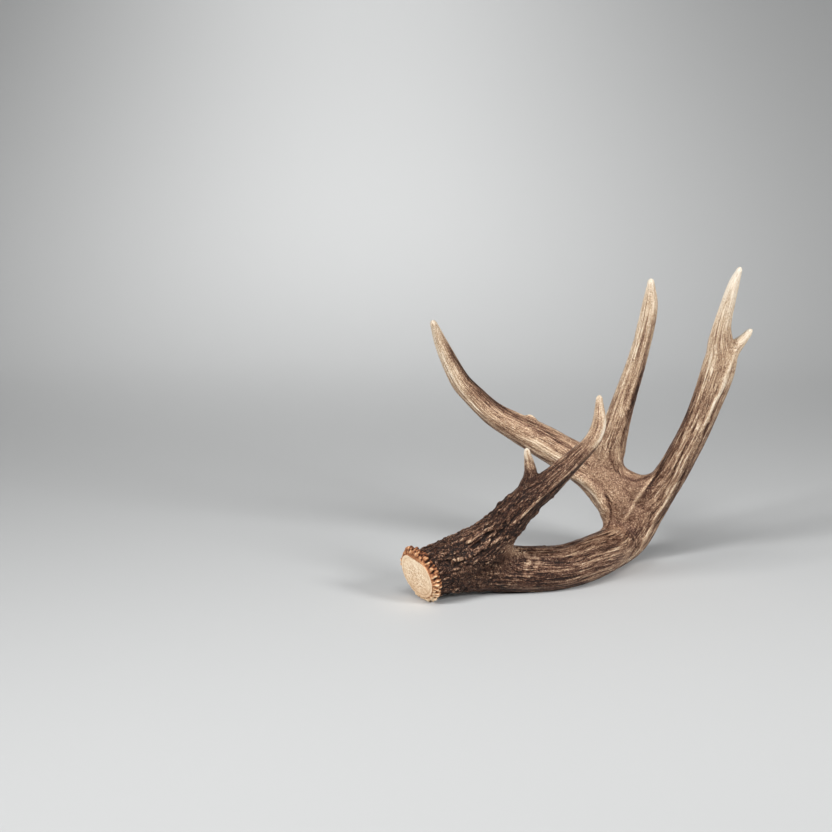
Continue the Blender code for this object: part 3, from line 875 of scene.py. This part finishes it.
def lay_line(surface, spots):
    """Points of the surface under a line in the picture, and the line's strength at each."""
    spots = np.array([(*spot, 1.0)[:3] for spot in spots])
    far = np.concatenate([[0], np.cumsum(np.linalg.norm(np.diff(spots[:, :2], axis=0), axis=1))])
    turn = camera.rotation_euler.to_matrix()
    found = []
    for step in np.arange(0, far[-1], LINE_STEP):
        right, down = (np.interp(step, far, spots[:, i]) - PICTURE / 2 for i in (0, 1))
        ray = turn @ Vector((right, -down, -PICTURE * LENS / SENSOR))
        place = surface.ray_cast(camera.location, ray.normalized())[0]
        if place is not None:
            part = step / far[-1]
            fade = min(1.0, part / LINE_END, (1 - part) / LINE_END)
            found.append((place, fade * np.interp(step, far, spots[:, 2])))
    return found


def lines_object(surface):
    """All lines as one object of edges that carries rise, half width and paleness."""
    places, edges, values = [], [], []
    for rise, half_width, paler, spots in LINES:
        found = lay_line(surface, spots)
        first = len(places)
        for place, strength in found:
            places.append(place)
            values.append((rise * min(strength, 1.0), half_width, paler * strength))
        edges += [(i, i + 1) for i in range(first, len(places) - 1)]
    mesh = bpy.data.meshes.new("lines")
    mesh.from_pydata(places, edges, [])
    for name, column in zip(("rise", "half_width", "paler"), np.array(values).T):
        store(mesh, name, column)
    return new_object("lines", mesh)


surface = BVHTree.FromObject(antler, bpy.context.evaluated_depsgraph_get())
lines = lines_object(surface)
print(len(LINES), "lines,", len(lines.data.vertices), "points on the surface")

# %% Raise and sink the skin along the lines
RIBS = {"Lines": lines, "Strength": 1.0}


def line_tree():
    """Raise or sink the skin near each line, and store how much paler it is there."""
    tree, size = start_tree("Ribs", RIBS)
    drawn = make(tree, "GeometryNodeObjectInfo", {"Object": size["Lines"]}).outputs["Geometry"]
    near = make(tree, "GeometryNodeProximity", {0: drawn}, target_element="EDGES")
    spot = make(tree, "GeometryNodeSampleNearest", {
        0: drawn, "Sample Position": near.outputs["Position"]}, domain="POINT")

    def at_line(name):
        sample = make(tree, "GeometryNodeSampleIndex", {
            0: drawn, "Value": stored(tree, name), "Index": spot.outputs[0]},
            data_type="FLOAT", domain="POINT")
        return sample.outputs[0]

    gap = calc(tree, "DIVIDE", calc(tree, "DIVIDE", near.outputs["Distance"], MM), at_line("half_width"))
    fall = calc(tree, "EXPONENT", chain(tree, "MULTIPLY", gap, gap, -1.0))
    fall = calc(tree, "MULTIPLY", fall, size["Strength"])
    moved = push_out(tree, size["Geometry"], chain(tree, "MULTIPLY", at_line("rise"), fall, MM))
    end_tree(tree, keep_number(tree, moved, "paler", calc(tree, "MULTIPLY", at_line("paler"), fall)))
    return tree


run_tree(antler, line_tree(), RIBS)
bpy.data.objects.remove(lines)
print("ribs and grooves drawn")

# %% [markdown]
# ## Reading crests and furrows
#
# On real antler the crests are rubbed pale and the furrows hold dark stain. Here the darkening
# of the furrows also stands in for the shade that gathers in them, so it is partly painted
# shade. To paint both, the surface has to know its own relief. Blurring a copy of all
# positions gives the surface without its small bumps, and the height above that copy is the relief.

# %% Fine fibres and the relief reading
FIBRES = {
    "Fibre width": 1.5, "Fibre length": 14.0, "Fibre height": 0.28, "Least share": 0.25,
    "More when rough": 0.8, "Bead reach": 0.0, "Clear of burr": 5.0, "Blur": 26}
FIBRE_SHIFT = 57.0  # takes the fibres from another part of the noise


def vector_socket(sockets):
    """The one in use among sockets that share a name."""
    return next(s for s in sockets if s.type == "VECTOR" and s.enabled)


def relief_tree():
    """Add fine fibres, then store each point's height above the blurred surface."""
    tree, size = start_tree("Relief", FIBRES)
    fibre = grain_noise(tree, size["Fibre width"], size["Fibre length"], 2.0, FIBRE_SHIFT)
    share = calc(tree, "MULTIPLY_ADD", stored(tree, "rough"), size["More when rough"], size["Least share"])
    height = calc(tree, "MULTIPLY", size["Fibre height"], MM)
    lift = chain(tree, "MULTIPLY", fibre, share, clear_of_burr(tree, size), height)
    moved = push_out(tree, size["Geometry"], lift)
    position = make(tree, "GeometryNodeInputPosition").outputs[0]
    blurred = make(tree, "GeometryNodeBlurAttribute", {"Iterations": size["Blur"]}, data_type="FLOAT_VECTOR")
    tree.links.new(position, vector_socket(blurred.inputs))
    bump = vector_calc(tree, "SUBTRACT", position, vector_socket(blurred.outputs))
    normal = make(tree, "GeometryNodeInputNormal").outputs[0]
    above = calc(tree, "DIVIDE", vector_calc(tree, "DOT_PRODUCT", bump, normal), MM)
    end_tree(tree, keep_number(tree, moved, "relief", above))
    return tree


run_tree(antler, relief_tree(), FIBRES)
relief = np.empty(len(antler.data.vertices))
antler.data.attributes["relief"].data.foreach_get("value", relief)
print("relief from", relief.min().round(2), "to", relief.max().round(2), "mm")

# %% [markdown]
# ## Sawing
#
# The burr was sawn off flat, a little ahead of its beads. Then the antler is parted at its
# main forks into the pieces that the imported model holds. Neighbours share the very same
# cut edge, so no gap shows, and every piece is closed by a flat cap inside the fork.

# %% Saw the burr face
CUT_AHEAD = 6.0
saw = bmesh.new()
saw.from_mesh(antler.data)
face_point = (Vector(BURR_CENTRE) + BURR_NORMAL * CUT_AHEAD) * MM
sawn = bmesh.ops.bisect_plane(saw, geom=[*saw.verts, *saw.edges, *saw.faces], plane_co=face_point,
                              plane_no=BURR_NORMAL, clear_outer=True)
rim = [e for e in sawn["geom_cut"] if isinstance(e, bmesh.types.BMEdge)]
caps = bmesh.ops.contextual_create(saw, geom=rim)["faces"]
for cap in caps:
    cap.material_index = 1
for edge in rim:
    edge.smooth = False
rim_points = np.array([v.co for e in rim for v in e.verts]) / MM
print("sawn face:", len(rim), "edges,", len(caps), "cap")

# %% Part the limbs at the forks
# Each cut's middle, the direction it faces and its radius.
FORKS = {
    "brow_tine": ((63, 0, 71), (0.66, -0.26, 0.70), 24),
    "outer_tine": ((223, 108, 82), (0.39, -0.27, 0.88), 24),
    "middle_tine": ((168, 109, 114), (0.22, -0.16, 0.96), 23),
    "upper_beam": ((179, 109, 64), (-0.74, 0.16, 0.65), 31)}
CUT_MARGIN = 1.15  # the plane cuts a little past the radius, so that the ring closes


def part_at(bm, centre, normal, radius):
    """Cut a closed ring through the skin near one fork and open it."""
    centre = (Vector(centre) + Vector(FOOTPRINT_SHIFT)) * MM
    normal = Vector(normal).normalized()
    near = [f for f in bm.faces if f.material_index == 0
            and (f.calc_center_median() - centre).length < radius * MM * CUT_MARGIN]
    edges = {e for f in near for e in f.edges}
    verts = {v for f in near for v in f.verts}
    cut = bmesh.ops.bisect_plane(bm, geom=[*near, *edges, *verts], plane_co=centre, plane_no=normal)
    ring = [e for e in cut["geom_cut"] if isinstance(e, bmesh.types.BMEdge)]
    ring = [e for e in ring if max((v.co - centre).length for v in e.verts) < radius * MM]
    return bmesh.ops.split_edges(bm, edges=ring)["edges"]


for name, (centre, normal, radius) in FORKS.items():
    opened = part_at(saw, centre, normal, radius)
    filled = bmesh.ops.holes_fill(saw, edges=[e for e in opened if e.is_boundary])
    print(name, "cut edges", len(opened), "caps", len(filled["faces"]))
saw.to_mesh(antler.data)
saw.free()

# %% Name the pieces
# A point well inside each piece, to know it by.
NODE_MARKERS = {
    "lower_beam": (110, 40, 20), "brow_tine": (100, -15, 115), "outer_tine": (246, 93, 150),
    "upper_beam": (100, 130, 115), "middle_tine": (182, 104, 175)}
bpy.ops.object.select_all(action="DESELECT")
bpy.context.view_layer.objects.active = antler
antler.select_set(True)
bpy.ops.object.mode_set(mode="EDIT")
bpy.ops.mesh.select_all(action="SELECT")
bpy.ops.mesh.separate(type="LOOSE")
bpy.ops.object.mode_set(mode="OBJECT")
CRUMB = 1000  # a loose bit with fewer faces is a crumb of the remesh
pieces = {}
for piece in [o for o in bpy.context.scene.objects if o.name.startswith("antler")]:
    if len(piece.data.polygons) < CRUMB:
        bpy.data.objects.remove(piece)
        continue
    middle = vertex_array(piece.data).mean(axis=0) / MM
    gaps = {key: np.linalg.norm(middle - np.array(spot) - FOOTPRINT_SHIFT)
            for key, spot in NODE_MARKERS.items()}
    pieces[min(gaps, key=gaps.get)] = piece
print("pieces:", sorted(pieces))

# %% Thin out and smooth the pieces
MOST_TRIANGLES = 190000


def thin_out(piece):
    """Drop the faces that carry the least shape until few enough are left."""
    piece.data.calc_loop_triangles()
    share = MOST_TRIANGLES / len(piece.data.loop_triangles)
    if share < 1:
        thinner = piece.modifiers.new("Thin", "DECIMATE")
        thinner.ratio = share
        keep_result(piece)
        piece.data.calc_loop_triangles()
    return len(piece.data.loop_triangles)


for name, piece in pieces.items():
    print(name, thin_out(piece), "triangles")
    piece.name = name + "_grown"
    piece.data.name = piece.name
    piece.data.shade_smooth()
    for polygon in piece.data.polygons:
        if polygon.material_index == 1:
            polygon.use_smooth = False

# %% [markdown]
# ## The look of antler
#
# The tone says how light a spot is, from the foot to the tip. Streaks along the grain, small
# flecks, a fine stipple with pale specks, the drawn lines and the relief push it up or down,
# and one colour ramp turns the sum into a colour, from furrow black-brown over tan to ivory.
# One ramp for all keeps the limbs of one make. The burr's beads have a ramp of their own, and
# get darker towards the top. The sawn face is a second material on the lower beam.

# %% Colours
ANTLER_TONES = [
    (0.02, (23, 11, 6)), (0.12, (42, 22, 13)), (0.22, (68, 40, 26)), (0.32, (96, 65, 51)),
    (0.42, (127, 96, 76)), (0.52, (153, 122, 98)), (0.62, (182, 150, 121)), (0.72, (205, 178, 147)),
    (0.83, (229, 206, 177)), (1.0, (251, 239, 220))]
BURR_TONES = [
    (0.08, (34, 17, 11)), (0.3, (92, 52, 33)), (0.5, (156, 100, 64)), (0.72, (206, 156, 114)),
    (0.95, (238, 208, 170))]
NOISE_ROUGHNESS = 0.6


def paint(red, green, blue):
    """A screen colour as the light values that Blender works with."""
    return [(c / 255 / 12.92 if c < 11 else ((c / 255 + 0.055) / 1.055) ** 2.4)
            for c in (red, green, blue)] + [1.0]


def colour_ramp(tree, amount, stops):
    ramp = make(tree, "ShaderNodeValToRGB", {0: amount})
    line = ramp.color_ramp.elements
    for _ in range(len(stops) - 2):
        line.new(0.5)
    for element, (place, colour) in zip(line, stops):
        element.position = place
        element.color = paint(*colour)
    return ramp.outputs[0]


def shader_noise(tree, spot, size, detail, seed):
    """The noise of the materials, at a spot in millimetres. The seed moves it elsewhere."""
    return stretched_noise(tree, spot, size, (seed, seed * 0.7, 0), detail, NOISE_ROUGHNESS)


def attribute(tree, name, output="Fac"):
    return make(tree, "ShaderNodeAttribute", attribute_name=name).outputs[output]


print(len(ANTLER_TONES), "steps from foot to tip")

# %% Antler material
# (size across, size along, detail, seed, how much it changes the tone)
STREAKS = [(4.0, 80.0, 2.0, 3.0, 0.26), (1.5, 32.0, 2.0, 10.0, 0.42), (0.7, 13.0, 1.0, 17.0, 0.46)]
FLECK = (1.0, 3.0, 2.0, 31.0, 0.60)
FLECK_ON_SMOOTH = 0.2  # the share of a fleck's strength that is left on smooth skin
CALM_STREAKS = 0.35  # the share of a streak's strength that is left on calm skin
# (size, detail, seed, how much it changes the tone)
STIPPLE = (0.8, 2.0, 5.0, 0.46)
PATCH = (26.0, 2.0, 2.0, 0.14)
# Ranges: a value from, to, and what is added at each end.
SPECKS = (0.22, 0.5, 0.0, 0.26)  # where the stipple is high it shows as a pale speck
# furrows are darker for their stain and, in part, as painted shade in the hollows
FURROW_STAIN_AND_SHADE = (-0.7, 0.0, -0.2, 0.0)  # relief, to tone
CRESTS = (0.15, 1.0, 0.0, 0.24)  # relief, to tone
GLOSS_OF_RELIEF = (-0.6, 0.6, 0.1, -0.08)  # relief, to roughness
BURR_TO_FACE = (-3.5, 6.0, -0.24, 0.3)  # distance ahead of the burr's middle, to tone
BURR_TO_TOP = (6.0, 50.0, 0.22, -0.22)  # height above the table, to tone
BURR_START = (-5.2, -3.4)  # over this stretch the colours change to the burr's own
BURR_TONE, BURR_RELIEF, BURR_STIPPLE = 0.4, 0.42, 0.35
ANTLER_ROUGHNESS, PATTERN_ROUGHNESS, ANTLER_SHINE = 0.46, -0.15, 0.22
ANTLER_BUMP = (0.6, 0.9)  # depth in millimetres, strength


def blank_material(name):
    material = bpy.data.materials.new(name)
    material.use_nodes = True
    material.node_tree.nodes.clear()
    return material, material.node_tree


def spot_in_millimetres(tree):
    return vector_calc(tree, "SCALE", make(tree, "ShaderNodeTexCoord").outputs["Object"], 1 / MM)


def streaky_noise(tree, grain, wide, long, detail, seed):
    return shader_noise(tree, grain, (wide, wide, long), detail, seed)


def even_noise(tree, spot, size, detail, seed):
    return shader_noise(tree, spot, (size, size, size), detail, seed)


def add_noise(tree, noise, weight, tone):
    """The tone with a weighted noise added to it."""
    return calc(tree, "MULTIPLY_ADD", noise, weight, tone)


def bone_surface(tree, colour, roughness, height, depth_and_strength, shine=0.5):
    """Lead colour, roughness and a small bump to the material's output."""
    depth, strength = depth_and_strength
    bump = make(tree, "ShaderNodeBump", {"Height": height, "Distance": depth * MM, "Strength": strength})
    surface = make(tree, "ShaderNodeBsdfPrincipled", {
        "Base Color": colour, "Roughness": roughness, "Specular IOR Level": shine,
        "Normal": bump.outputs[0]})
    make(tree, "ShaderNodeOutputMaterial", {0: surface.outputs[0]})


def grain_pattern(tree, rough):
    """All streaks, flecks and stipple summed: the change of tone from spot to spot."""
    grain = attribute(tree, "grain", "Vector")
    total = 0.0
    for *streak, weight in STREAKS:
        total = add_noise(tree, streaky_noise(tree, grain, *streak), weight, total)
    calmed = calc(tree, "MULTIPLY_ADD", attribute(tree, "calm"), CALM_STREAKS - 1.0, 1.0)
    total = calc(tree, "MULTIPLY", total, calmed)
    *fleck, weight = FLECK
    share = calc(tree, "MULTIPLY_ADD", rough, (1 - FLECK_ON_SMOOTH) * weight, FLECK_ON_SMOOTH * weight)
    total = add_noise(tree, streaky_noise(tree, grain, *fleck), share, total)
    spot = spot_in_millimetres(tree)
    stipple = even_noise(tree, spot, *STIPPLE[:3])
    total = add_noise(tree, stipple, STIPPLE[3], total)
    total = calc(tree, "ADD", total, range_of(tree, stipple, *SPECKS))
    return add_noise(tree, even_noise(tree, spot, *PATCH[:3]), PATCH[3], total), stipple


def burr_tone(tree, relief, stipple, ahead):
    """How light the burr is: by relief and stipple, paler at the face, darker at the top."""
    height = make(tree, "ShaderNodeSeparateXYZ", {0: spot_in_millimetres(tree)}).outputs[2]
    tone = calc(tree, "MULTIPLY_ADD", relief, BURR_RELIEF, BURR_TONE)
    tone = calc(tree, "MULTIPLY_ADD", stipple, BURR_STIPPLE, tone)
    return chain(tree, "ADD", tone, range_of(tree, ahead, *BURR_TO_FACE),
                 range_of(tree, height, *BURR_TO_TOP))


def antler_material(name):
    material, tree = blank_material(name)
    rough, relief, ahead = (attribute(tree, key) for key in ("rough", "relief", "ahead"))
    pattern, stipple = grain_pattern(tree, rough)
    tone = chain(tree, "ADD", attribute(tree, "tone"), pattern, attribute(tree, "paler"),
                 range_of(tree, relief, *FURROW_STAIN_AND_SHADE), range_of(tree, relief, *CRESTS))
    colour = make(tree, "ShaderNodeMix", {
        "Factor": range_of(tree, ahead, *BURR_START), 6: colour_ramp(tree, tone, ANTLER_TONES),
        7: colour_ramp(tree, burr_tone(tree, relief, stipple, ahead), BURR_TONES)}, data_type="RGBA")
    roughness = calc(tree, "MULTIPLY_ADD", pattern, PATTERN_ROUGHNESS, ANTLER_ROUGHNESS)
    roughness = calc(tree, "ADD", roughness, range_of(tree, relief, *GLOSS_OF_RELIEF))
    bone_surface(tree, colour.outputs[2], roughness, pattern, ANTLER_BUMP, ANTLER_SHINE)
    return material


print(len(STREAKS), "sizes of streaks, with flecks, stipple and patches over them")

# %% Sawn bone
FACE_MIDDLE = rim_points.mean(axis=0)
FACE_UP = (Vector((0, 0, 1)) - BURR_NORMAL * BURR_NORMAL.z).normalized()
FACE_ACROSS = FACE_UP.cross(BURR_NORMAL)
FACE_HALF = [np.abs((rim_points - FACE_MIDDLE) @ np.array(axis)).max() for axis in (FACE_ACROSS, FACE_UP)]
SAWN_TONES = [
    (0.4, (170, 126, 90)), (0.62, (214, 181, 145)), (0.82, (237, 213, 182)), (1.0, (251, 236, 213))]
SAWN_TONE, SAWN_ROUGHNESS = 0.76, 0.72
# The groove's distance from the middle as a share of the rim's, its half width and its tone.
GROOVE_AT, GROOVE_WIDTH, GROOVE_TONE = 0.87, 0.035, -0.16
POROUS = (0.5, 0.9, 1.0, 0.3)  # distance from the middle, to how porous it is
DARK_FOOT = (-1.0, 0.8, -0.15, 0.05)  # height on the face, to tone
PORES_IN_MM = 0.8
MOTTLE = (1.7, 3.0, 5.0)  # size, detail, seed
MOTTLE_TONE, MOTTLE_HEIGHT = 0.8, 0.6
CLOUD = (8.0, 2.0, 1.0, 0.12)  # size, detail, seed, how much it changes the tone
SAWN_BUMP = (0.35, 0.7)  # depth in millimetres, strength
print("sawn face is", [round(2 * float(half), 1) for half in FACE_HALF], "mm across and high")


def sawn_material(name):
    """Pale bone, porous in the middle, with a faint groove near the rim."""
    material, tree = blank_material(name)
    spot = spot_in_millimetres(tree)
    offset = vector_calc(tree, "SUBTRACT", spot, tuple(FACE_MIDDLE))
    across, up = (vector_calc(tree, "DOT_PRODUCT", offset, tuple(Vector(axis) / half))
                  for axis, half in zip((FACE_ACROSS, FACE_UP), FACE_HALF))
    out = calc(tree, "SQRT", calc(tree, "MULTIPLY_ADD", across, across, calc(tree, "MULTIPLY", up, up)))
    from_groove = calc(tree, "ABSOLUTE", calc(tree, "SUBTRACT", out, GROOVE_AT))
    groove = range_of(tree, from_groove, 0.0, GROOVE_WIDTH, 1.0, 0.0)
    pores = make(tree, "ShaderNodeTexVoronoi", {"Vector": spot, "Scale": PORES_IN_MM}).outputs["Distance"]
    porous = range_of(tree, out, *POROUS)
    mottle = even_noise(tree, spot, *MOTTLE)
    tone = calc(tree, "MULTIPLY_ADD", calc(tree, "MULTIPLY", mottle, porous), MOTTLE_TONE, SAWN_TONE)
    tone = add_noise(tree, even_noise(tree, spot, *CLOUD[:3]), CLOUD[3], tone)
    tone = calc(tree, "ADD", tone, range_of(tree, up, *DARK_FOOT))
    tone = calc(tree, "MULTIPLY_ADD", groove, GROOVE_TONE, tone)
    height = calc(tree, "MULTIPLY", calc(tree, "MULTIPLY_ADD", mottle, MOTTLE_HEIGHT, pores), porous)
    height = calc(tree, "SUBTRACT", height, groove)
    bone_surface(tree, colour_ramp(tree, tone, SAWN_TONES), SAWN_ROUGHNESS, height, SAWN_BUMP)
    return material


# %% Give each piece its material
def set_materials(mesh, materials):
    """Fill the material slots and leave each face in its slot."""
    while len(mesh.materials) < len(materials):
        mesh.materials.append(None)
    for slot, material in enumerate(materials):
        mesh.materials[slot] = material


for name, piece in pieces.items():
    materials = [antler_material(name + "_bone")]
    if name == "lower_beam":
        materials.append(sawn_material("sawn_burr_face"))
    set_materials(piece.data, materials)
print("materials:", [m.name for m in bpy.data.materials if m.users])

# %% Ride on the antler's body and stand for its solids
for name, piece in pieces.items():
    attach(piece, "root")
    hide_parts(name)
print("pieces:", sorted(piece.name for piece in pieces.values()))

# %% [markdown]
# ## Table, backdrop and light
#
# The antler lies on a pale grey surface that sweeps up into the wall behind it, so no edge
# shows. Two soft boxes of nearly the same strength stand at the left and the right of the
# camera, one hangs overhead, and a small one washes the wall. Sizes here are in metres.

# %% Sweep
SWEEP = [
    (-2.6, 0.0), (0.6, 0.0), (0.85, 0.02), (1.05, 0.11), (1.19, 0.27), (1.27, 0.5), (1.3, 0.8), (1.3, 3.0)]
SWEEP_WIDTH = 6.0
SWEEP_GREY = (184, 185, 185)


def build_sweep():
    bm = bmesh.new()
    lines = [[bm.verts.new((x, y, z)) for x in (-SWEEP_WIDTH / 2, SWEEP_WIDTH / 2)] for y, z in SWEEP]
    for low, high in zip(lines, lines[1:]):
        bm.faces.new((low[0], low[1], high[1], high[0]))
    mesh = bpy.data.meshes.new("sweep")
    bm.to_mesh(mesh)
    bm.free()
    sweep = new_object("sweep", mesh)
    rounding = sweep.modifiers.new("Round", "SUBSURF")
    rounding.levels = rounding.render_levels = 4
    rounding.boundary_smooth = "PRESERVE_CORNERS"
    mesh.shade_smooth()
    material = bpy.data.materials.new("pale_grey")
    material.use_nodes = True
    surface = material.node_tree.nodes["Principled BSDF"]
    surface.inputs["Base Color"].default_value = paint(*SWEEP_GREY)
    surface.inputs["Roughness"].default_value = 0.75
    mesh.materials.append(material)
    return sweep


build_sweep()
print("sweep", SWEEP_WIDTH, "m wide, up to", SWEEP[-1][1], "m high")

# %% Lights
ROOM_LIGHT = 0.06


def soft_box(name, place, width, power, spread, target=(0, 0, 0.1)):
    data = bpy.data.lights.new(name, "AREA")
    data.shape = "SQUARE"
    data.size = width
    data.energy = power
    data.spread = math.radians(spread)
    light = new_object(name, data)
    light.location = place
    light.rotation_euler = (Vector(target) - Vector(place)).to_track_quat("-Z", "Y").to_euler()


soft_box("left_box", (-1.3, -1.1, 1.2), 0.5, 9.6, 95)
soft_box("right_box", (1.4, -1.1, 1.1), 0.5, 8.2, 95)
soft_box("top_box", (-0.1, -1.0, 1.8), 1.0, 7.4, 110, (0, -0.4, 0))
soft_box("wall_box", (-0.24, 1.0, 1.4), 0.4, 2.1, 68, (-0.24, 1.25, 0.2))
world = bpy.data.worlds.new("room")
world.use_nodes = True
world.node_tree.nodes["Background"].inputs[0].default_value = (1.0, 1.0, 1.0, 1)
world.node_tree.nodes["Background"].inputs[1].default_value = ROOM_LIGHT
bpy.context.scene.world = world
bpy.context.scene.view_settings.view_transform = "Standard"
print("four soft boxes and a faint room light")
